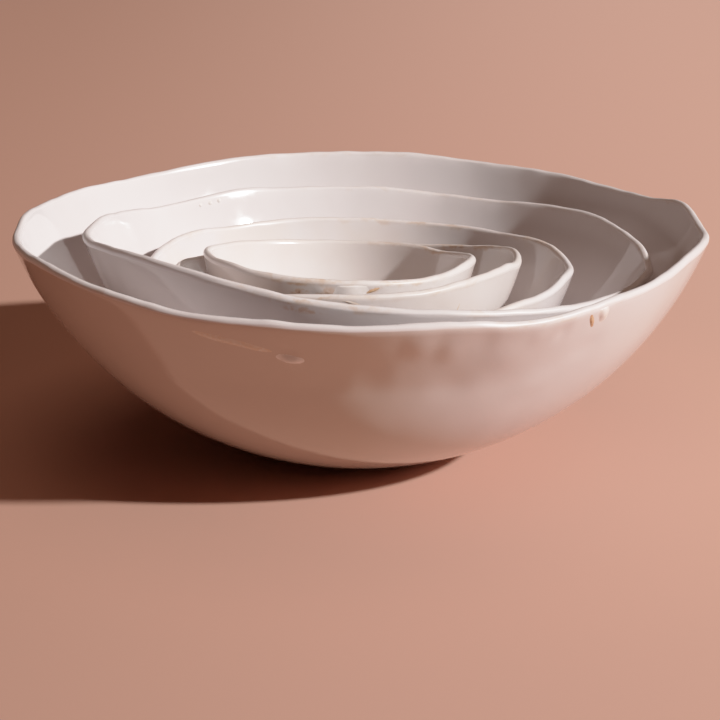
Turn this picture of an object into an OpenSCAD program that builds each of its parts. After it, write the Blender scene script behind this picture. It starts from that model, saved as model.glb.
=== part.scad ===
// Nest of five hand-formed porcelain bowls with uneven rims.
// Each bowl lies loose in the next larger one. Millimetres, +Z up.
// The origin is the centre of the outer bowl's flat foot, with +X to the right and +Y to the back.

/* [Outer bowl] */
// Radius of the outer bowl at its rim
outer_rim_r = 139; // [116:1:170]
// Height of the outer bowl from its foot to the top of its lip
outer_height = 92; // [77:1:112]
// Radius of the flat foot ground on the outer bowl's underside
outer_foot_r = 24; // [20:0.5:29]

/* [Second bowl] */
// How much smaller its rim radius is than the outer bowl's
second_step = 25; // [20:0.5:31]
// How much lower it is than the outer bowl
second_drop = 10; // [8:0.5:12]
// Sideways shift of the place where it rests, to the right and to the back
second_shift = [5.5, 0]; // [-9:0.5:9]
// Lean about the X axis and then about the Y axis, in degrees
second_lean = [-2.6, 2.9]; // [-4:0.1:4]

/* [Middle bowl] */
// How much smaller its rim radius is than the second bowl's
middle_step = 27.5; // [22:0.5:33]
// How much lower it is than the second bowl
middle_drop = 14; // [11.5:0.5:17]
// Sideways shift of the place where it rests
middle_shift = [-6, 0]; // [-9:0.5:9]
// Lean about the X axis and then about the Y axis
middle_lean = [-1.3, 0.6]; // [-4:0.1:4]

/* [Fourth bowl] */
// How much smaller its rim radius is than the middle bowl's
fourth_step = 16.5; // [13.5:0.5:20]
// How much lower it is than the middle bowl
fourth_drop = 7; // [5:0.5:9]
// Sideways shift of the place where it rests
fourth_shift = [-4.5, 0]; // [-6:0.5:6]
// Lean about the X axis and then about the Y axis
fourth_lean = [-7, -2]; // [-8:0.1:8]

/* [Inner bowl] */
// How much smaller its rim radius is than the fourth bowl's
inner_step = 15.5; // [12.5:0.5:19]
// How much lower it is than the fourth bowl
inner_drop = 0; // [-1:0.5:3]
// Sideways shift of the place where it rests
inner_shift = [-4.5, 0]; // [-5:0.5:5]
// Lean about the X axis and then about the Y axis
inner_lean = [-6, 2.4]; // [-8:0.1:8]

/* [Walls] */
// Thickness of every wall, glaze included
wall = 3.3; // [2.7:0.1:4]
// How much smaller each bowl's foot radius is than the next larger bowl's
foot_step = 3.5; // [2:0.5:4]
// Gap left where one bowl rests in another
seat_gap = 0.6; // [0.5:0.1:1]

/* [Hidden] */

OUTER = 0;
SECOND = 1;
MIDDLE = 2;
FOURTH = 3;
INNER = 4;

step = [0, second_step, middle_step, fourth_step, inner_step];
drop = [0, second_drop, middle_drop, fourth_drop, inner_drop];
shift = [[0, 0], second_shift, middle_shift, fourth_shift, inner_shift];
lean = [[0, 0], second_lean, middle_lean, fourth_lean, inner_lean];

// How far round its oval each wall has come when it meets the lip, in degrees from straight down.
// The smaller bowls are deeper for their width and end nearer to upright.
rim_turn = [68, 65, 73, 62, 70];

// Hand-made rims: [direction in degrees, half width in degrees, how far the lip rises or dips].
rim_rises = [
    [
        [-148, 34, 4.5], [-62, 17, -2.5], [-22, 24, 4.5], [13, 13, 2.6],
        [34, 26, -3], [62, 22, -2], [135, 26, -1.8], [172, 10, 1.6]
    ],
    [[-136, 46, 6], [-50, 40, -2], [-4, 13, -2.5], [33, 36, 4], [86, 16, 1.2], [142, 28, -4]],
    [[-56, 16, -1.2], [-15, 20, 2.4], [26, 20, 1.2], [72, 36, -0.8], [148, 18, 1.6], [176, 16, -1.4]],
    [[180, 80, 4.2], [0, 90, 4.4], [-102, 22, 0.8], [-62, 20, -0.6], [-10, 14, -1.4], [11, 16, 0.8]],
    [[-150, 40, 1.8], [178, 30, 2], [-8, 52, 3.6], [55, 16, 0.7], [90, 40, -0.8], [148, 20, 0.8]]
];
// The same for the rim's plan: [direction, half width, how far the wall goes out or in].
rim_pushes = [
    [[-120, 30, -1], [-78, 30, 0.8], [40, 35, -1.2], [100, 40, 1]],
    [[-170, 30, 1.4], [-100, 40, -1], [-40, 30, 1], [20, 30, -1.2], [120, 40, 1]],
    [[-150, 40, 1], [-60, 35, -0.8], [10, 30, 0.8], [90, 40, -0.8]],
    [[-120, 40, 0.8], [-40, 40, -0.6], [0, 30, 0.8], [80, 40, 0.6]],
    [[180, 40, 0.8], [-90, 45, -0.8], [0, 30, 0.8], [90, 45, 0.5]]
];
// How the rises and the pushes fade from the lip down to the foot
rise_fade = 3;
push_fade = 1.5;

// Facets round each bowl, up its wall and over its lip
around = [72, 64, 56, 52, 48];
wall_rings = 9;
lip_rings = 4;

// Half a wall: the lip is a half round of this radius
lip_r = wall / 2;

// Sizes of bowl i, from the outer bowl inwards
function rim_r(i) = i == OUTER ? outer_rim_r : rim_r(i - 1) - step[i];
function height(i) = i == OUTER ? outer_height : height(i - 1) - drop[i];
function foot_r(i) = outer_foot_r - i * foot_step;

// The outside of bowl i is the lower part of an oval: half its width, half its height,
// how far round it the foot lies, and how far the oval's lowest point is below the ground foot.
function oval_w(i) = (rim_r(i) - lip_r * (1 - sin(rim_turn[i]))) / sin(rim_turn[i]);
function foot_turn(i) = asin(foot_r(i) / oval_w(i));
function wall_top(i) = height(i) - lip_r * (1 + cos(rim_turn[i]));
function oval_h(i) = wall_top(i) / (cos(foot_turn(i)) - cos(rim_turn[i]));
function ground_off(i) = oval_h(i) * (1 - cos(foot_turn(i)));

// A bowl rolls in the one below about the centre of its underside's curve.
function roll_r(i) = oval_w(i) * oval_w(i) / oval_h(i);
function centre_gap(i) = roll_r(i - 1) - wall - roll_r(i) - seat_gap;
function centre_fall(i) = sqrt(pow(centre_gap(i), 2) - pow(shift[i].x, 2) - pow(shift[i].y, 2));
function roll_centre(i) =
    i == OUTER
        ? [0, 0, roll_r(OUTER) - ground_off(OUTER)]
        : roll_centre(i - 1) + [shift[i].x, shift[i].y, -centre_fall(i)];

// A smooth hump of 1 at its middle and 0 at its half width, and the sum of a rim's humps
function hump(d, half) = abs(d) < half ? (1 + cos(180 * d / half)) / 2 : 0;
function turn_between(a, b) = (a - b + 540) % 360 - 180;
function humps(list, a) = [for (h = list) h[2] * hump(turn_between(a, h[0]), h[1])] * [for (h = list) 1];

// A point on the outside of the wall at turn t, its outward direction, and its along-wall direction,
// all as [radius, height]
function skin(i, t) = [oval_w(i) * sin(t), oval_h(i) * (cos(foot_turn(i)) - cos(t))];
function unit(v) = v / norm(v);
function outward(i, t) = unit([oval_h(i) * sin(t), -oval_w(i) * cos(t)]);
function along(i, t) = unit([oval_w(i) * cos(t), oval_h(i) * sin(t)]);
function lip_point(i, q) =
    skin(i, rim_turn[i]) - lip_r * outward(i, rim_turn[i])
        + lip_r * (cos(q) * outward(i, rim_turn[i]) + sin(q) * along(i, rim_turn[i]));

// The wall's section from just off the underside's middle, over the lip, to just off the middle inside
function wall_turn(i, k) = rim_turn[i] * k / wall_rings;
function section(i) = concat(
    [for (k = [1:wall_rings]) skin(i, wall_turn(i, k))],
    [for (k = [1:lip_rings - 1]) lip_point(i, 180 * k / lip_rings)],
    [for (k = [wall_rings:-1:1]) skin(i, wall_turn(i, k)) - wall * outward(i, wall_turn(i, k))]
);

// A section point carried round to direction a, with the rim's own rise and push there
function share(i, p) = max(0, p.y) / height(i);
function carried(i, p, a) =
    let (
        out = p.x + humps(rim_pushes[i], a) * pow(share(i, p), push_fade),
        up = p.y + humps(rim_rises[i], a) * pow(share(i, p), rise_fade)
    )
    [out * cos(a), out * sin(a), up];

// The closed shell of bowl i, still round underneath
module shell(i) {
    n = around[i];
    line = section(i);
    m = len(line);
    bottom = [0, 0, -ground_off(i)];
    points = concat(
        [for (p = line) for (s = [0:n - 1]) carried(i, p, 360 * s / n)],
        [bottom, bottom + [0, 0, wall]]
    );
    sides = [
        for (r = [0:m - 2]) for (s = [0:n - 1])
            let (s2 = (s + 1) % n)
            each [
                [r * n + s, (r + 1) * n + s, (r + 1) * n + s2],
                [r * n + s, (r + 1) * n + s2, r * n + s2]
            ]
    ];
    under = [for (s = [0:n - 1]) [m * n, s, (s + 1) % n]];
    inside = [for (s = [0:n - 1]) [m * n + 1, (m - 1) * n + (s + 1) % n, (m - 1) * n + s]];
    polyhedron(points, concat(sides, under, inside));
}

// Bowl i in its own frame, with its foot ground flat
module bowl(i) {
    slab = 3 * outer_foot_r;
    difference() {
        shell(i);
        translate([-slab / 2, -slab / 2, -slab]) cube(slab);
    }
}

// Bowl i where it lies in the nest
module nested(i) {
    translate(roll_centre(i))
        rotate([lean[i].x, lean[i].y, 0])
            translate([0, 0, ground_off(i) - roll_r(i)])
                bowl(i);
}

module outer_bowl() {
    color("#efe6e0") nested(OUTER);
}

module second_bowl() {
    color("#ece2db") nested(SECOND);
}

module middle_bowl() {
    color("#efe4dc") nested(MIDDLE);
}

module fourth_bowl() {
    color("#ebe0d8") nested(FOURTH);
}

module inner_bowl() {
    color("#f0e6de") nested(INNER);
}

outer_bowl();
second_bowl();
middle_bowl();
fourth_bowl();
inner_bowl();
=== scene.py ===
"""Nest of five hand-formed porcelain bowls with uneven, glazed rims.

Metres, +Z up, +X to the right and +Y to the back. The origin is the middle of the outer bowl's foot.
Each bowl is turned from its own section, worked by hand where its rim rises, dips or bulges,
and then leant into the next larger one.
"""
import math
from types import SimpleNamespace

import bmesh
import bpy
from mathutils import Matrix, Vector, noise


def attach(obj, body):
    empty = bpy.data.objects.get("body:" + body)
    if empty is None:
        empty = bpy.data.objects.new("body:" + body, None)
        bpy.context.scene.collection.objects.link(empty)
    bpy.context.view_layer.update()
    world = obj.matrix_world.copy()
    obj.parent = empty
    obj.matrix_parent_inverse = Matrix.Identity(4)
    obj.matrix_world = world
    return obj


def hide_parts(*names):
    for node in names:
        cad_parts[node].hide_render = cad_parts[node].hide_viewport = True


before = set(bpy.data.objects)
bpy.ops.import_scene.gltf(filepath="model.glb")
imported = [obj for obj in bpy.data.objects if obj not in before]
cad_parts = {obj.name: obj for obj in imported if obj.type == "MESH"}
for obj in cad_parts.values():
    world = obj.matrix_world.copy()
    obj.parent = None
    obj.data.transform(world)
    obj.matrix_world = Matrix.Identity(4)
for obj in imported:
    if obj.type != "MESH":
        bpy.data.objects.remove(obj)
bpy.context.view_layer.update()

MM = 0.001

# ---------------------------------------------------------------------------------------------
# Sizes of the bowls
# ---------------------------------------------------------------------------------------------

BOWLS = ("outer", "second", "middle", "fourth", "inner")
OUTER, SECOND, MIDDLE, FOURTH, INNER = range(5)

# Millimetres, from the outer bowl inwards
RIM_RADIUS = (139.0, 114.0, 86.5, 70.0, 54.5)
HEIGHT = (92.0, 82.0, 68.0, 61.0, 61.0)
FOOT_RADIUS = (24.0, 20.5, 17.0, 13.5, 10.0)
# How far round its oval each wall has come when it meets the lip, in degrees from straight down
RIM_TURN = (68.0, 65.0, 73.0, 62.0, 70.0)
# How far to the right and back of the bowl below each one rests, in millimetres, and its lean about
# the X axis and then about the Y axis, in degrees
SHIFT = ((0.0, 0.0), (5.5, 0.0), (-6.0, 0.0), (-4.5, 0.0), (-4.5, 0.0))
LEAN = ((0.0, 0.0), (-2.6, 2.9), (-1.3, 0.6), (-7.0, -2.0), (-6.0, 2.4))
# Thickness of every wall, half of it for the round of the lip, and the gap where a bowl rests
WALL = 3.3
LIP = WALL / 2
SEAT_GAP = 0.6

# How far the hand-made rims rise or dip: direction and half width in degrees, and millimetres
RISES = (
    ((-148, 34, 4.5), (-62, 17, -2.5), (-22, 24, 4.5), (13, 13, 2.6),
     (34, 26, -3), (62, 22, -2), (135, 26, -1.8), (172, 10, 1.6)),
    ((-136, 46, 6), (-50, 40, -2), (-4, 13, -2.5), (33, 36, 4), (86, 16, 1.2), (142, 28, -4)),
    ((-56, 16, -1.2), (-15, 20, 2.4), (26, 20, 1.2), (72, 36, -0.8), (148, 18, 1.6), (176, 16, -1.4)),
    ((180, 80, 4.2), (0, 90, 4.4), (-102, 22, 0.8), (-62, 20, -0.6), (-10, 14, -1.4), (11, 16, 0.8)),
    ((-150, 40, 1.8), (178, 30, 2), (-8, 52, 3.6), (55, 16, 0.7), (90, 40, -0.8), (148, 20, 0.8)),
)
# How far they go out or in, in the same terms
PUSHES = (
    ((-120, 30, -1), (-78, 30, 0.8), (40, 35, -1.2), (100, 40, 1)),
    ((-170, 30, 1.4), (-100, 40, -1), (-40, 30, 1), (20, 30, -1.2), (120, 40, 1)),
    ((-150, 40, 1), (-60, 35, -0.8), (10, 30, 0.8), (90, 40, -0.8)),
    ((-120, 40, 0.8), (-40, 40, -0.6), (0, 30, 0.8), (80, 40, 0.6)),
    ((180, 40, 0.8), (-90, 45, -0.8), (0, 30, 0.8), (90, 45, 0.5)),
)
# The powers of a point's share of the height by which the two fade down to the foot
RISE_FADE = 3.0
PUSH_FADE = 1.5

# Facets round each bowl, in slices that are all alike, then up its wall outside and inside, and
# over its lip. The wall's rings crowd towards the lip.
STEPS_ROUND = (640, 544, 432, 368, 304)
SLICES = 16
WALL_RINGS = 40
LIP_RINGS = 14
CROWDING = 1.35
# Points nearer than this are welded, in millimetres
WELD = 0.0005


def bowl_sizes(i):
    """The oval whose lower part is the outside of bowl i, and the curve it rolls on, in millimetres."""
    turn = math.radians(RIM_TURN[i])
    wide = (RIM_RADIUS[i] - LIP * (1 - math.sin(turn))) / math.sin(turn)
    foot_turn = math.asin(FOOT_RADIUS[i] / wide)
    wall_top = HEIGHT[i] - LIP * (1 + math.cos(turn))
    high = wall_top / (math.cos(foot_turn) - math.cos(turn))
    ground_off = high * (1 - math.cos(foot_turn))
    return SimpleNamespace(
        turn=turn, wide=wide, foot_turn=foot_turn, high=high, ground_off=ground_off,
        roll=wide * wide / high, height=HEIGHT[i],
    )


SIZES = [bowl_sizes(i) for i in range(len(BOWLS))]


def roll_centre(i):
    """Where the centre of bowl i's underside curve lies, from the outer bowl inwards."""
    if i == OUTER:
        return Vector((0, 0, SIZES[OUTER].roll - SIZES[OUTER].ground_off))
    gap = SIZES[i - 1].roll - WALL - SIZES[i].roll - SEAT_GAP
    right, back = SHIFT[i]
    fall = math.sqrt(gap * gap - right * right - back * back)
    return roll_centre(i - 1) + Vector((right, back, -fall))


def nest_place(i):
    """The move that takes bowl i from its own frame to where it lies in the nest, in millimetres."""
    lean_x = Matrix.Rotation(math.radians(LEAN[i][0]), 4, "X")
    lean_y = Matrix.Rotation(math.radians(LEAN[i][1]), 4, "Y")
    lower = Matrix.Translation((0, 0, SIZES[i].ground_off - SIZES[i].roll))
    return Matrix.Translation(roll_centre(i)) @ lean_y @ lean_x @ lower


# ---------------------------------------------------------------------------------------------
# One bowl's section
# ---------------------------------------------------------------------------------------------


def skin(size, turn):
    """A point on the outside of the wall: distance from the axis, and height."""
    return Vector((size.wide * math.sin(turn), size.high * (math.cos(size.foot_turn) - math.cos(turn))))


def outward(size, turn):
    """The wall's outward direction there."""
    return Vector((size.high * math.sin(turn), -size.wide * math.cos(turn))).normalized()


def upward(size, turn):
    """The direction up along the wall there."""
    return Vector((size.wide * math.cos(turn), size.high * math.sin(turn))).normalized()


# The foot is hollowed by this much in its middle, in millimetres. The section's points under it, and
# where the hollow starts to shallow and where it ends, are shares of the foot's radius.
FOOT_HOLLOW = 0.5
FOOT_SHARES = (0.0, 0.3, 0.55, 0.7, 0.8, 0.9, 0.97)
FOOT_HOLLOW_FROM = 0.55
FOOT_HOLLOW_TO = 0.8
# Height of the foot's rounded edge in millimetres, and how far in and up the point on it lies, as
# shares of that
FOOT_ROUND = 0.35
FOOT_EDGE_IN = 0.3
FOOT_EDGE_UP = 0.12
# The wall's rings start a little past the turn at which the foot ends
WALL_START = 1.02


def crowded(k):
    """The share of the way up the wall at which ring k lies."""
    return 1 - (1 - k / WALL_RINGS) ** CROWDING


def section(size, foot_radius):
    """The wall's section from under the foot, over the lip, to the middle of the inside.

    Each point is (distance from the axis, height, how far inside: 0 outside and 1 inside).
    """
    points = []
    for share in FOOT_SHARES:
        rise = (FOOT_HOLLOW_TO - share) / (FOOT_HOLLOW_TO - FOOT_HOLLOW_FROM)
        points.append((share * foot_radius, FOOT_HOLLOW * min(1, max(0, rise)), 0.0))
    points.append((foot_radius - FOOT_ROUND * FOOT_EDGE_IN, FOOT_ROUND * FOOT_EDGE_UP, 0.0))
    start = size.foot_turn * WALL_START
    for k in range(WALL_RINGS + 1):
        spot = skin(size, start + (size.turn - start) * crowded(k))
        points.append((spot.x, max(spot.y, FOOT_ROUND), 0.0))
    out = outward(size, size.turn)
    up = upward(size, size.turn)
    middle = skin(size, size.turn) - LIP * out
    for k in range(1, LIP_RINGS):
        q = math.pi * k / LIP_RINGS
        spot = middle + LIP * (math.cos(q) * out + math.sin(q) * up)
        points.append((spot.x, spot.y, k / LIP_RINGS))
    for k in range(WALL_RINGS, -1, -1):
        turn = size.turn * crowded(k)
        spot = skin(size, turn) - WALL * outward(size, turn)
        points.append((max(spot.x, 0.0), spot.y, 1.0))
    return points


# ---------------------------------------------------------------------------------------------
# What the hand does to it
# ---------------------------------------------------------------------------------------------


def hump(away, half):
    """1 at its middle, and 0 from its half width on."""
    return (1 + math.cos(math.pi * away / half)) / 2 if abs(away) < half else 0.0


def turn_between(a, b):
    """The turn from direction b to direction a, from -180 up to 180 degrees."""
    return (a - b + 540) % 360 - 180


def humps(marks, direction):
    """The sum in one direction of humps given as (direction, half width, size)."""
    return sum(size * hump(turn_between(direction, at), half) for at, half, size in marks)


# How far apart in the noise two seeds lie
SEED_STEP = (7.3, -3.1, 1.7)


def drift(direction, height, per_turn, up_scale, seed):
    """A smooth wandering value from about -1 to 1 that closes on itself round the bowl."""
    angle = math.radians(direction)
    reach = per_turn / (2 * math.pi)
    return noise.noise(Vector((
        reach * math.cos(angle) + SEED_STEP[0] * seed,
        reach * math.sin(angle) + SEED_STEP[1] * seed,
        height * up_scale + SEED_STEP[2] * seed,
    )))


# Slow wandering of the whole wall, lumps, nicks, swellings and pinches along the lip, and ripples of
# the glaze: about how many millimetres each moves the wall at most
WALL_WANDER = 0.55
LIP_LUMP = 0.42
LIP_NICK = 0.3
LIP_SWELL = 0.32
LIP_PINCH = 0.34
GLAZE_RIPPLE = 0.1
# How long their waves are round the rim, and how tall the wandering's are, in millimetres. A pinch is
# as long as a lump.
WANDER_WAVE = 95.0
WANDER_UP = 62.0
LUMP_WAVE = 24.0
NICK_WAVE = 8.5
SWELL_WAVE = 17.0
RIPPLE_WAVE = 15.0
# What bowl 0 counts from in the noise for each of them. The next bowls count on from there, and
# the ripples inside a bowl are another few on.
WANDER_SEED = 1
LUMP_SEED = 11
NICK_SEED = 21
PINCH_SEED = 31
SWELL_SEED = 41
RIPPLE_SEED = 51
RIPPLE_INSIDE = 6
# The lip's own unevenness fades down the wall by this power of a point's share of the height. Swells
# start where what is left is more than SWELL_FROM, and change over the lip from outside to inside.
LUMP_FADE = 9.0
SWELL_FROM = 0.3
SWELL_OVER = 4
SWELL_OVER_SCALE = 0.3
# How fast the ripples and the flare come in with a point's share of the height
RIPPLE_GROWS = 2.2
FLARE_GROWS = 1.5

# How far the last of the wall is drawn in below the lip, which flares it, or is left full, which
# stands it upright: direction and half width in degrees, and millimetres
FLARES = (
    ((-82, 52, 5.6), (-125, 60, 2.4), (112, 110, -2.8)),
    ((-100, 100, 0.2), (118, 110, -2.3)),
    ((118, 110, -0.3),),
    ((118, 110, -0.3),),
    ((118, 110, -1.6),),
)
# How far below the lip the flare is fullest, and where it has faded, in millimetres
FLARE_FROM = 28.0
FLARE_FADED = 78.0

# Bumps and dents in a wall's outside: direction, millimetres below the lip, half width and half
# height in millimetres, and how far it stands out. They reach half way over the lip.
MARKED_UP_TO = 0.5
MARKS = (
    ((-100.8, 16.0, 5.6, 4.6, 0.8), (-100.8, 13.6, 4.4, 3.6, -0.75),
     (-66, 17, 14, 10, 0.4), (-74, 30, 13, 11, -0.35), (-58, 33, 15, 9, 0.35), (-81, 9, 9, 9, 0.5),
     (-50, 20, 12, 8, -0.3), (-88, 24, 11, 15, -0.25), (-71, 8, 7, 9, -0.3), (-62, 7, 6, 7, 0.3),
     (-57.5, 8, 4.5, 6, -0.4), (-76, 12, 8, 9, 0.45)),
    ((-163, 22, 7, 26, 0.7), (-152, 20, 9, 24, -0.4), (118, 6, 9, 5, -0.35)),
    ((-128, 12, 10, 7, 0.3), (150, 8, 8, 6, -0.3)),
    ((-84, 7, 7, 4, 0.35), (-58, 10, 8, 6, -0.25)),
    ((-96, 5, 6, 3, 0.4), (-75, 6, 7, 4, -0.25)),
)

# Where the glaze breaks to tan over the lip: direction, half width in degrees and strength
TAN_LIPS = (
    ((-60, 24, 0.35), (-135, 20, 0.3), (95, 45, 0.25), (20, 25, 0.25)),
    ((-103, 24, 0.9), (-70, 20, 0.3), (70, 50, 0.35), (0, 20, 0.35)),
    ((70, 42, 0.6), (25, 25, 0.5), (-70, 25, 0.3), (150, 25, 0.2)),
    ((40, 45, 0.8), (-92, 26, 0.9), (-55, 20, 0.6)),
    ((48, 48, 0.8), (-104, 28, 1.0), (-60, 30, 0.7), (120, 25, 0.25)),
)
# Where iron has pooled brown on a wall's outside, with painted shade in the inner bowl's dark pools under
# its
# front lip: direction, millimetres below the lip, half width and half height in millimetres, and strength
IRON_AND_SHADE_POOLS = (
    ((-109, 11.6, 17, 1.5, 0.35), (-52.4, 5.6, 2.4, 4.4, 0.4)),
    ((-103, 4.2, 14, 2.2, 0.5),),
    ((-75, 4, 9, 2, 0.3),),
    ((-96, 3.4, 5, 2.0, 0.5),),
    # The inner bowl's pools are partly painted shade, where its wall lies in shadow under its front lip
    ((-94.5, 6.5, 7.5, 6.0, 0.75), (-106, 6.6, 6, 3.2, 0.95), (-108, 2.6, 6, 1.4, 0.6),
     (-75.5, 3.8, 3.4, 1.9, 0.7)),
)
# Painted shade on a wall's outside, on its side away from the light, in the warm colour of clay: direction,
# half width in degrees and strength
PAINTED_SHADE_SIDES = (
    ((-122, 78, 1.5),),
    ((-150, 60, 0.3),),
    (),
    (),
    ((-130, 60, 0.4),),
)


def flare(below):
    """The share of its flare that a wall is drawn in by, this far below the lip."""
    if below < FLARE_FROM:
        return math.sin(math.pi / 2 * below / FLARE_FROM)
    return hump(below - FLARE_FROM, FLARE_FADED - FLARE_FROM)


def rim_moves(i, direction):
    """What bowl i's rim does in one direction: push, rise and flare, and its lumps, nicks and pinches."""
    rim = 2 * math.pi * RIM_RADIUS[i]
    lump = drift(direction, 0, rim / LUMP_WAVE, 0, i + LUMP_SEED)
    nick = drift(direction, 0, rim / NICK_WAVE, 0, i + NICK_SEED)
    pinch = drift(direction, 0, rim / LUMP_WAVE, 0, i + PINCH_SEED)
    return SimpleNamespace(
        push=humps(PUSHES[i], direction), rise=humps(RISES[i], direction), flare=humps(FLARES[i], direction),
        lump=LIP_LUMP * lump, nick=LIP_NICK * nick, pinch=LIP_PINCH * pinch,
    )


def hand_moves(i, direction, rim, height, inside):
    """How far a section point goes out along the radius, up, and out along the wall's own normal."""
    size = SIZES[i]
    share = max(0.0, height) / size.height
    round_rim = 2 * math.pi * RIM_RADIUS[i]
    near_lip = share ** LUMP_FADE
    wander = drift(direction, height, round_rim / WANDER_WAVE, 1 / WANDER_UP, i + WANDER_SEED)
    ripple_seed = i + RIPPLE_SEED + RIPPLE_INSIDE * inside
    ripple = drift(direction, height, round_rim / RIPPLE_WAVE, 1 / RIPPLE_WAVE, ripple_seed)
    out = rim.push * share ** PUSH_FADE + WALL_WANDER * share ** 2 * wander + rim.pinch * near_lip
    out -= rim.flare * flare(max(0.0, size.height - WALL - height)) * min(1.0, FLARE_GROWS * share)
    up = rim.rise * share ** RISE_FADE + rim.lump * near_lip + rim.nick * near_lip ** 2
    proud = GLAZE_RIPPLE * min(1.0, share * RIPPLE_GROWS) * ripple
    if near_lip > SWELL_FROM:
        over = SWELL_OVER * inside
        swell = drift(direction, over, round_rim / SWELL_WAVE, SWELL_OVER_SCALE, i + SWELL_SEED)
        proud += LIP_SWELL * near_lip ** 3 * swell
    if inside < MARKED_UP_TO:
        for at, below, half_wide, half_high, depth in MARKS[i]:
            across = math.radians(turn_between(direction, at)) * RIM_RADIUS[i]
            down = size.height - height - below
            if abs(across) < half_wide and abs(down) < half_high:
                proud += depth * hump(across, half_wide) * hump(down, half_high)
    return out, up, proud


def iron_and_shade_at(i, direction, height):
    """How much iron stain and painted shade there is at a point of bowl i's outside, from 0 to 1."""
    amount = 0.0
    for at, below, half_wide, half_high, strength in IRON_AND_SHADE_POOLS[i]:
        across = math.radians(turn_between(direction, at)) * RIM_RADIUS[i]
        down = SIZES[i].height - height - below
        amount = max(amount, strength * hump(across, half_wide) * hump(down, half_high))
    return amount


def turned_bowl(i):
    """Bowl i as a closed mesh in its own frame, with what its glaze needs to know on each vertex."""
    size = SIZES[i]
    points = section(size, FOOT_RADIUS[i])
    bm = bmesh.new()
    inside_layer = bm.verts.layers.float.new("inside")
    from_lip_layer = bm.verts.layers.float.new("from_lip")
    foot_layer = bm.verts.layers.float.new("foot")
    tan_layer = bm.verts.layers.float.new("tan_lip")
    iron_and_shade_layer = bm.verts.layers.float.new("iron_and_shade")
    painted_shade_layer = bm.verts.layers.float.new("painted_shade")
    travelled = [0.0]
    for a, b in zip(points, points[1:]):
        travelled.append(travelled[-1] + math.hypot(b[0] - a[0], b[1] - a[1]))
    lip_top = travelled[len(FOOT_SHARES) + 1 + WALL_RINGS + LIP_RINGS // 2]
    line = []
    for (out, up, inside), gone in zip(points, travelled):
        v = bm.verts.new((out, 0, up))
        v[inside_layer] = inside
        v[from_lip_layer] = abs(gone - lip_top) * MM
        v[foot_layer] = 1.0 if inside == 0 and up <= FOOT_ROUND else 0.0
        line.append(v)
    edges = [bm.edges.new(pair) for pair in zip(line, line[1:])]
    bmesh.ops.spin(
        bm, geom=line + edges, cent=(0, 0, 0), axis=(0, 0, 1), dvec=(0, 0, 0),
        angle=2 * math.pi / SLICES, steps=STEPS_ROUND[i] // SLICES, use_merge=False, use_duplicate=False,
    )
    bmesh.ops.spin(
        bm, geom=bm.verts[:] + bm.edges[:] + bm.faces[:], cent=(0, 0, 0), axis=(0, 0, 1), dvec=(0, 0, 0),
        angle=2 * math.pi * (SLICES - 1) / SLICES, steps=SLICES - 1, use_merge=False, use_duplicate=True,
    )
    bmesh.ops.remove_doubles(bm, verts=bm.verts, dist=WELD)
    bmesh.ops.recalc_face_normals(bm, faces=bm.faces)
    bm.normal_update()
    rims = {}
    for v in bm.verts:
        radius = math.hypot(v.co.x, v.co.y)
        direction = math.degrees(math.atan2(v.co.y, v.co.x))
        step = round(direction * STEPS_ROUND[i] / 360) % STEPS_ROUND[i]
        if step not in rims:
            rims[step] = rim_moves(i, direction)
        v[tan_layer] = min(1.0, humps(TAN_LIPS[i], direction))
        # Iron stain with some painted shade, and painted shade on the side away from the light, on the
        # outside only
        if v[inside_layer] == 0:
            v[iron_and_shade_layer] = iron_and_shade_at(i, direction, v.co.z)
            v[painted_shade_layer] = min(1.0, humps(PAINTED_SHADE_SIDES[i], direction))
        out, up, proud = hand_moves(i, direction, rims[step], v.co.z, v[inside_layer])
        along = v.normal.copy()
        if radius > 0:
            v.co.x *= (radius + out) / radius
            v.co.y *= (radius + out) / radius
        v.co.z += up
        v.co += along * proud
    return bm


def finished(bm, name, body, slot, material, *nodes):
    """Turns a worked mesh in millimetres into a piece in metres that rides on a body."""
    bmesh.ops.scale(bm, vec=(MM, MM, MM), verts=bm.verts)
    mesh = bpy.data.meshes.new(name)
    bm.to_mesh(mesh)
    bm.free()
    mesh.shade_smooth()
    mesh.materials.append(material)
    piece = bpy.data.objects.new(name, mesh)
    bpy.context.scene.collection.objects.link(piece)
    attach(piece, body)
    if nodes:
        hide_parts(*nodes)


# ---------------------------------------------------------------------------------------------
# Glazes
# ---------------------------------------------------------------------------------------------


def new_material(name):
    """A material with its nodes, its links and its one shader."""
    material = bpy.data.materials.new(name)
    material.use_nodes = True
    nodes = material.node_tree.nodes
    shader = nodes["Principled BSDF"]
    return material, nodes, material.node_tree.links, shader


NOISE_ROUGHNESS = 0.5


def noise_on(nodes, links, place, scale, detail):
    """A noise's value over a piece: a higher scale is finer."""
    texture = nodes.new("ShaderNodeTexNoise")
    texture.inputs["Scale"].default_value = scale
    texture.inputs["Detail"].default_value = detail
    texture.inputs["Roughness"].default_value = NOISE_ROUGHNESS
    links.new(place, texture.inputs["Vector"])
    return texture.outputs["Fac"]


def between(nodes, links, value, low, high, to_low=0.0, to_high=1.0):
    """Smoothly takes a value's range low to high over to another range."""
    step = nodes.new("ShaderNodeMapRange")
    step.interpolation_type = "SMOOTHSTEP"
    step.inputs["From Min"].default_value = low
    step.inputs["From Max"].default_value = high
    step.inputs["To Min"].default_value = to_low
    step.inputs["To Max"].default_value = to_high
    links.new(value, step.inputs["Value"])
    return step.outputs["Result"]


def reckoned(nodes, links, operation, a, b):
    """One value out of two, by ADD, MULTIPLY or MAXIMUM. The second may be a plain number."""
    step = nodes.new("ShaderNodeMath")
    step.operation = operation
    links.new(a, step.inputs[0])
    if isinstance(b, float):
        step.inputs[1].default_value = b
    else:
        links.new(b, step.inputs[1])
    return step.outputs["Value"]


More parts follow.
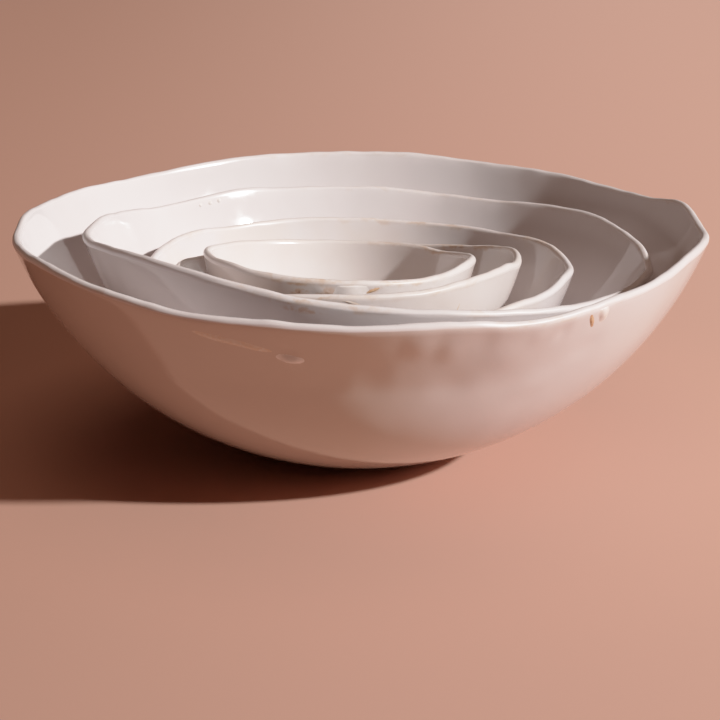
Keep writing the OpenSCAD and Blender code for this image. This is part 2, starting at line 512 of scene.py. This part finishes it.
def coloured(nodes, links, amount, under, over):
    """Lays the colour over on the colour under, by an amount from 0 to 1."""
    mix = nodes.new("ShaderNodeMix")
    mix.data_type = "RGBA"
    links.new(amount, mix.inputs["Factor"])
    for socket, colour in ((mix.inputs["A"], under), (mix.inputs["B"], over)):
        if isinstance(colour, tuple):
            socket.default_value = (*colour, 1.0)
        else:
            links.new(colour, socket)
    return mix.outputs["Result"]


def vertex_value(nodes, name):
    """A value that a bowl's mesh carries on its vertices."""
    attribute = nodes.new("ShaderNodeAttribute")
    attribute.attribute_name = name
    return attribute.outputs["Fac"]


TAN = (0.55, 0.34, 0.20)
RUST = (0.56, 0.33, 0.20)
# Dark iron brown, also used as painted shade in the inner bowl's pools under its front lip
IRON_AND_SHADE_BROWN = (0.26, 0.12, 0.07)
BARE_CLAY = (0.66, 0.57, 0.49)
# Painted shade, in the warm colour of clay, laid on the outsides' sides away from the light
PAINTED_SHADE_CLAY = (0.57, 0.465, 0.41)
GLAZE_IOR = 1.5

# Noises over a bowl: how fine, with how much detail. A glaze has its own fineness for its clouds.
CLOUD_DETAIL = 3
EDGE_NOISE = (190, 4)
TAN_NOISE = (120, 4)
GRAIN_NOISE = (420, 5)
GLOSS_NOISE = (140, 3)
BUMP_NOISE = (260, 2)
# The range of a noise or other value that a look turns on, and what it goes over to where that isn't
# 0 to 1. Distances from the lip are in metres.
CLOUDS = (0.38, 0.64)
EDGE_WANDER = (0.3, 0.7, -0.0012, 0.0012)
TAN_STARTS = (0.0002, 0.0014)
TAN_ENDS = (0.0018, 0.0034, 1.0, 0.0)
TAN_BROKEN = (0.42, 0.62, 0.25, 1.0)
TAN_STRENGTH = 0.75
IRON_AND_SHADE_GRAIN = (0.35, 0.6, 0.35, 1.0)
RUST_SHOWS = (0.08, 0.4, 0.0, 0.6)
IRON_AND_SHADE_SHOWS = (0.35, 0.85, 0.0, 0.8)
GLOSS = (0.3, 0.7, 0.04, 0.1)
SATIN_LIP = (0.0018, 0.004, 0.4, 0.0)
FOOT_ROUGHNESS = 0.75
BUMP_STRENGTH = 0.06
BUMP_DISTANCE = 0.0004


def glaze(name, thick, thin, cloud_scale):
    """Glossy porcelain glaze in clouds of two whites, with a tan line where it breaks at the lip.

    Painted shade in the warm colour of clay darkens the outside on its side away from the light, iron pools
    brown in it, partly as painted shade, the lip is satin and the foot is bare.
    """
    material, nodes, links, shader = new_material(name)
    place = nodes.new("ShaderNodeTexCoord").outputs["Object"]
    from_lip = vertex_value(nodes, "from_lip")
    foot = vertex_value(nodes, "foot")

    def ranged(value, stops):
        return between(nodes, links, value, *stops)

    def noisy(fineness, stops):
        return ranged(noise_on(nodes, links, place, *fineness), stops)

    def reckon(operation, a, b):
        return reckoned(nodes, links, operation, a, b)

    clouds = noisy((cloud_scale, CLOUD_DETAIL), CLOUDS)
    colour = coloured(nodes, links, clouds, thick, thin)
    # Painted shade on the outside's side away from the light
    colour = coloured(nodes, links, vertex_value(nodes, "painted_shade"), colour, PAINTED_SHADE_CLAY)
    edge = reckon("ADD", from_lip, noisy(EDGE_NOISE, EDGE_WANDER))
    line = reckon("MULTIPLY", ranged(edge, TAN_STARTS), ranged(edge, TAN_ENDS))
    broken = noisy(TAN_NOISE, TAN_BROKEN)
    tan = reckon("MULTIPLY", reckon("MULTIPLY", line, broken), vertex_value(nodes, "tan_lip"))
    colour = coloured(nodes, links, reckon("MULTIPLY", tan, TAN_STRENGTH), colour, TAN)
    # Iron stain, partly painted shade in the inner bowl's dark pools under its front lip
    grainy = noisy(GRAIN_NOISE, IRON_AND_SHADE_GRAIN)
    iron_and_shade = reckon("MULTIPLY", vertex_value(nodes, "iron_and_shade"), grainy)
    colour = coloured(nodes, links, ranged(iron_and_shade, RUST_SHOWS), colour, RUST)
    colour = coloured(nodes, links, ranged(iron_and_shade, IRON_AND_SHADE_SHOWS), colour, IRON_AND_SHADE_BROWN)
    colour = coloured(nodes, links, foot, colour, BARE_CLAY)
    links.new(colour, shader.inputs["Base Color"])
    rough = reckon("MAXIMUM", noisy(GLOSS_NOISE, GLOSS), ranged(from_lip, SATIN_LIP))
    rough = reckon("MAXIMUM", rough, reckon("MULTIPLY", foot, FOOT_ROUGHNESS))
    links.new(rough, shader.inputs["Roughness"])
    shader.inputs["IOR"].default_value = GLAZE_IOR
    bump = nodes.new("ShaderNodeBump")
    bump.inputs["Strength"].default_value = BUMP_STRENGTH
    bump.inputs["Distance"].default_value = BUMP_DISTANCE
    links.new(noise_on(nodes, links, place, *BUMP_NOISE), bump.inputs["Height"])
    links.new(bump.outputs["Normal"], shader.inputs["Normal"])
    return material


WHITE_THICK = (0.70, 0.632, 0.632)
WHITE_THIN = (0.68, 0.608, 0.605)
CREAM_THICK = (0.71, 0.635, 0.617)
CREAM_THIN = (0.69, 0.603, 0.576)
GLAZES = (
    glaze("outer_glaze", WHITE_THICK, WHITE_THIN, 22),
    glaze("second_glaze", WHITE_THICK, WHITE_THIN, 26),
    glaze("middle_glaze", WHITE_THICK, CREAM_THIN, 30),
    glaze("fourth_glaze", CREAM_THICK, CREAM_THIN, 34),
    glaze("inner_glaze", CREAM_THICK, CREAM_THIN, 36),
)


RUN_NOISE = (600, 3)
RUN_THIN = (0.35, 0.65)
RUN_GLOSS_NOISE = (300, 3)
RUN_GLOSS = (0.3, 0.7, 0.04, 0.12)


def run_glaze(name, pale, dark):
    """Glossy glaze that has run or beaded, pale with darker clouds."""
    material, nodes, links, shader = new_material(name)
    place = nodes.new("ShaderNodeTexCoord").outputs["Object"]
    thin = between(nodes, links, noise_on(nodes, links, place, *RUN_NOISE), *RUN_THIN)
    links.new(coloured(nodes, links, thin, pale, dark), shader.inputs["Base Color"])
    gloss = between(nodes, links, noise_on(nodes, links, place, *RUN_GLOSS_NOISE), *RUN_GLOSS)
    links.new(gloss, shader.inputs["Roughness"])
    shader.inputs["IOR"].default_value = GLAZE_IOR
    return material


WHITE_RUN = run_glaze("white_glaze_run", (0.80, 0.72, 0.70), (0.77, 0.69, 0.66))
TAN_RUN = run_glaze("tan_glaze_run", (0.60, 0.38, 0.23), (0.50, 0.27, 0.14))
PALE_TAN_RUN = run_glaze("pale_tan_glaze_run", (0.65, 0.49, 0.38), (0.61, 0.43, 0.31))
FAINT_TAN_RUN = run_glaze("faint_tan_glaze_run", (0.70, 0.60, 0.54), (0.67, 0.52, 0.42))

# ---------------------------------------------------------------------------------------------
# The five bowls
# ---------------------------------------------------------------------------------------------

for i, bowl in enumerate(BOWLS):
    bm = turned_bowl(i)
    bmesh.ops.transform(bm, matrix=nest_place(i), verts=bm.verts)
    node = f"{bowl}_bowl"
    finished(bm, f"{bowl}_glazed_bowl", node, f"{bowl}_glaze", GLAZES[i], node)


def wall_spot(i, direction, below, proud, inside):
    """A point on the worked wall of bowl i, this far below its lip and standing this far out of it."""
    size = SIZES[i]
    height = size.height - below
    turn = math.acos(max(-1.0, math.cos(size.foot_turn) - height / size.high))
    turn = min(turn, size.turn)
    lean = outward(size, turn)
    spot = skin(size, turn) - inside * WALL * lean
    out, up, stands = hand_moves(i, direction, rim_moves(i, direction), height, inside)
    if inside:
        lean = -lean
    radius = spot.x + out + lean.x * (stands + proud)
    angle = math.radians(direction)
    tall = spot.y + up + lean.y * (stands + proud)
    return Vector((radius * math.cos(angle), radius * math.sin(angle), tall))


# Facets round a run and along it, and how deep its thin edge lies in the wall, in millimetres
RUN_ROUND = 24
RUN_LONG = 32
RUN_SUNK = 0.02
# How blunt its ends are (their very tips would come out endlessly wide, so RUN_TIP holds them),
# how steeply it thins to its edges, and how far its back goes into the wall
RUN_BLUNT = 0.15
RUN_TIP = 1e-4
RUN_THINS = 4
RUN_BACK = 0.5
# Its uneven width: by what share, and how fast that changes along it, from bowl to bowl and across
RUN_WOBBLE = 0.18
WOBBLE_ALONG = 3.1
WOBBLE_BOWL = 5
WOBBLE_ACROSS = 1.7


def glaze_run(name, i, start, end, width, proud, waist, inside, material):
    """A run or bead of glaze on bowl i's wall, from one (direction, millimetres below the lip) to another.

    It starts as a ball that is drawn out along the wall and flattened to a pillow with thin edges.
    waist is its width half way as a share of its width at the ends.
    """
    bm = bmesh.new()
    bmesh.ops.create_uvsphere(bm, u_segments=RUN_ROUND, v_segments=RUN_LONG, radius=1.0)
    dropped = end[1] - start[1]
    across = math.radians(end[0] - start[0]) * RIM_RADIUS[i]
    length = math.hypot(dropped, across)
    for v in bm.verts:
        x, y, z = v.co
        blunt = max(RUN_TIP, 1 - z * z) ** -RUN_BLUNT
        thick = proud * y ** RUN_THINS if y > 0 else RUN_BACK * y
        gone = (1 - z) / 2
        wide = waist + (1 - waist) * z * z
        spot = Vector((WOBBLE_ALONG * gone + WOBBLE_BOWL * i, WOBBLE_ACROSS * x, len(name)))
        wobble = 1 + RUN_WOBBLE * noise.noise(spot)
        aside = x * blunt * width / 2 * wide * wobble
        direction = start[0] + (end[0] - start[0]) * gone
        direction += math.degrees(aside * dropped / length / RIM_RADIUS[i])
        below = start[1] + dropped * gone - aside * across / length
        v.co = wall_spot(i, direction, below, thick - RUN_SUNK, inside)
    bmesh.ops.recalc_face_normals(bm, faces=bm.faces)
    bmesh.ops.transform(bm, matrix=nest_place(i), verts=bm.verts)
    bowl = BOWLS[i]
    finished(bm, name, f"{bowl}_bowl", f"{bowl}_glaze", material)


# Name, bowl, start and end as (direction, millimetres below the lip), width, how far it stands out,
# its waist, whether it is inside the bowl, and its glaze
RUNS = (
    ("outer_lip_drip", OUTER, (-51.2, 0.6), (-49.3, 9.2), 5.6, 0.75, 0.9, 0, WHITE_RUN),
    ("outer_tan_drip", OUTER, (-53.2, 3.2), (-51.3, 10.4), 2.0, 0.35, 1.0, 0, TAN_RUN),
    ("outer_tan_ridge", OUTER, (-117.0, 7.0), (-103.0, 13.6), 3.4, 0.4, 1.0, 0, FAINT_TAN_RUN),
    ("outer_crescent", OUTER, (-103.6, 15.6), (-98.6, 16.6), 3.6, 0.9, 1.2, 0, WHITE_RUN),
    ("fourth_tan_line", FOURTH, (-49.0, 7.0), (-52.5, 24.0), 0.8, 0.15, 1.0, 0, PALE_TAN_RUN),
    ("fourth_tan_break", FOURTH, (-92.5, 1.6), (-84.0, 4.6), 1.4, 0.2, 1.0, 0, FAINT_TAN_RUN),
    ("inner_white_run", INNER, (-85.0, -1.0), (-84.0, 15.0), 15.0, 1.0, 1.0, 0, WHITE_RUN),
    ("inner_tan_edge", INNER, (-79.5, 5.6), (-72.5, 2.7), 1.4, 0.4, 1.0, 0, TAN_RUN),
    ("second_lip_bead_left", SECOND, (131.6, 3.6), (131.6, 6.0), 2.4, 0.7, 1.0, 1, WHITE_RUN),
    ("second_lip_bead_middle", SECOND, (128.9, 3.4), (128.9, 6.0), 2.8, 0.8, 1.0, 1, WHITE_RUN),
    ("second_lip_bead_right", SECOND, (126.4, 3.3), (126.4, 5.8), 2.8, 0.8, 1.0, 1, WHITE_RUN),
)
for run in RUNS:
    glaze_run(*run)

# ---------------------------------------------------------------------------------------------
# Floor, light and camera
# ---------------------------------------------------------------------------------------------

FLOOR_HALF_WIDTH = 5.0
# The floor's colour goes over from a painted shade to its full peach between these two places, standing in
# for the key light's falloff across it
TONE_LEFT = -0.35
TONE_RIGHT = 0.35
PEACH = (0.70, 0.395, 0.305)
# Painted shade: the floor's colour on the side away from the light
PAINTED_SHADE_PEACH = (0.395, 0.192, 0.138)
PAPER_ROUGHNESS = 0.9
PAPER_SHINE = 0.2


def paper_floor():
    """A plain peach sheet with painted shade: its colour is darker away from the light."""
    bm = bmesh.new()
    bmesh.ops.create_grid(bm, x_segments=1, y_segments=1, size=FLOOR_HALF_WIDTH)
    mesh = bpy.data.meshes.new("paper_floor")
    bm.to_mesh(mesh)
    bm.free()
    material, nodes, links, shader = new_material("matte_paper")
    place = nodes.new("ShaderNodeTexCoord").outputs["Object"]
    apart = nodes.new("ShaderNodeSeparateXYZ")
    links.new(place, apart.inputs["Vector"])
    across = between(nodes, links, apart.outputs["X"], TONE_LEFT, TONE_RIGHT)
    links.new(coloured(nodes, links, across, PAINTED_SHADE_PEACH, PEACH), shader.inputs["Base Color"])
    shader.inputs["Roughness"].default_value = PAPER_ROUGHNESS
    shader.inputs["Specular IOR Level"].default_value = PAPER_SHINE
    mesh.materials.append(material)
    floor = bpy.data.objects.new("paper_floor", mesh)
    bpy.context.scene.collection.objects.link(floor)
    return floor


paper_floor()

KEY_AIM = Vector((0, 0, 0.06))
KEY_AZIMUTH = math.radians(-27)
KEY_ELEVATION = math.radians(30.5)
KEY_DISTANCE = 1.3
KEY_WIDTH = math.radians(2.6)
KEY_STRENGTH = 6.6
KEY_COLOUR = (1.0, 0.985, 0.96)
FILL_SIZE = 1.2
FILL_POWER = 5.5
FILL_COLOUR = (1.0, 0.66, 0.5)
FILL_PLACE = Vector((-0.15, 0.1, 1.5))
ROOM_COLOUR = (1.0, 0.62, 0.43)
ROOM_STRENGTH = 0.04


def aimed(thing, place, at):
    """Puts a light in its place, shining at a point."""
    thing.location = place
    thing.rotation_euler = (at - place).to_track_quat("-Z", "Y").to_euler()
    bpy.context.scene.collection.objects.link(thing)


key = bpy.data.lights.new("key_light", "SUN")
key.angle = KEY_WIDTH
key.energy = KEY_STRENGTH
key.color = KEY_COLOUR
key_place = KEY_AIM + KEY_DISTANCE * Vector((
    math.cos(KEY_ELEVATION) * math.cos(KEY_AZIMUTH),
    math.cos(KEY_ELEVATION) * math.sin(KEY_AZIMUTH),
    math.sin(KEY_ELEVATION),
))
aimed(bpy.data.objects.new("key_light", key), key_place, KEY_AIM)

# A wide warm panel overhead opens up the shadows
fill = bpy.data.lights.new("overhead_fill", "AREA")
fill.size = FILL_SIZE
fill.energy = FILL_POWER
fill.color = FILL_COLOUR
aimed(bpy.data.objects.new("overhead_fill", fill), FILL_PLACE, KEY_AIM)

world = bpy.data.worlds.new("room")
world.use_nodes = True
background = world.node_tree.nodes["Background"]
background.inputs["Color"].default_value = (*ROOM_COLOUR, 1)
background.inputs["Strength"].default_value = ROOM_STRENGTH
bpy.context.scene.world = world

CAMERA_DISTANCE = 0.95
CAMERA_ELEVATION = math.radians(14.35)
CAMERA_PITCH = math.radians(17.6)
CAMERA_LENS = 117.7
CAMERA_SENSOR = 36
CAMERA_REACH = 20
rim_middle = Vector((0, 0, HEIGHT[OUTER] * MM))
camera_data = bpy.data.cameras.new("camera")
camera_data.lens = CAMERA_LENS
camera_data.sensor_width = CAMERA_SENSOR
camera_data.clip_end = CAMERA_REACH
camera = bpy.data.objects.new("camera", camera_data)
towards_camera = Vector((0, -math.cos(CAMERA_ELEVATION), math.sin(CAMERA_ELEVATION)))
camera.location = rim_middle + CAMERA_DISTANCE * towards_camera
camera.rotation_euler = (math.pi / 2 - CAMERA_PITCH, 0, 0)
bpy.context.scene.collection.objects.link(camera)
bpy.context.scene.camera = camera

# A film-like shoulder keeps the sunlit glaze from burning out: brightness in, and brightness shown
SHOULDER_WHITE = 2.5
SHOULDER = ((0.1, 0.098), (0.25, 0.225), (0.42, 0.345), (0.62, 0.48), (0.9, 0.655), (1.2, 0.79), (1.6, 0.9))
COMBINED_CURVE = 3
view = bpy.context.scene.view_settings
view.view_transform = "Standard"
view.use_curve_mapping = True
view.curve_mapping.white_level = (SHOULDER_WHITE, SHOULDER_WHITE, SHOULDER_WHITE)
tone_curve = view.curve_mapping.curves[COMBINED_CURVE]
for seen, shown in SHOULDER:
    tone_curve.points.new(seen / SHOULDER_WHITE, shown)
view.curve_mapping.update()
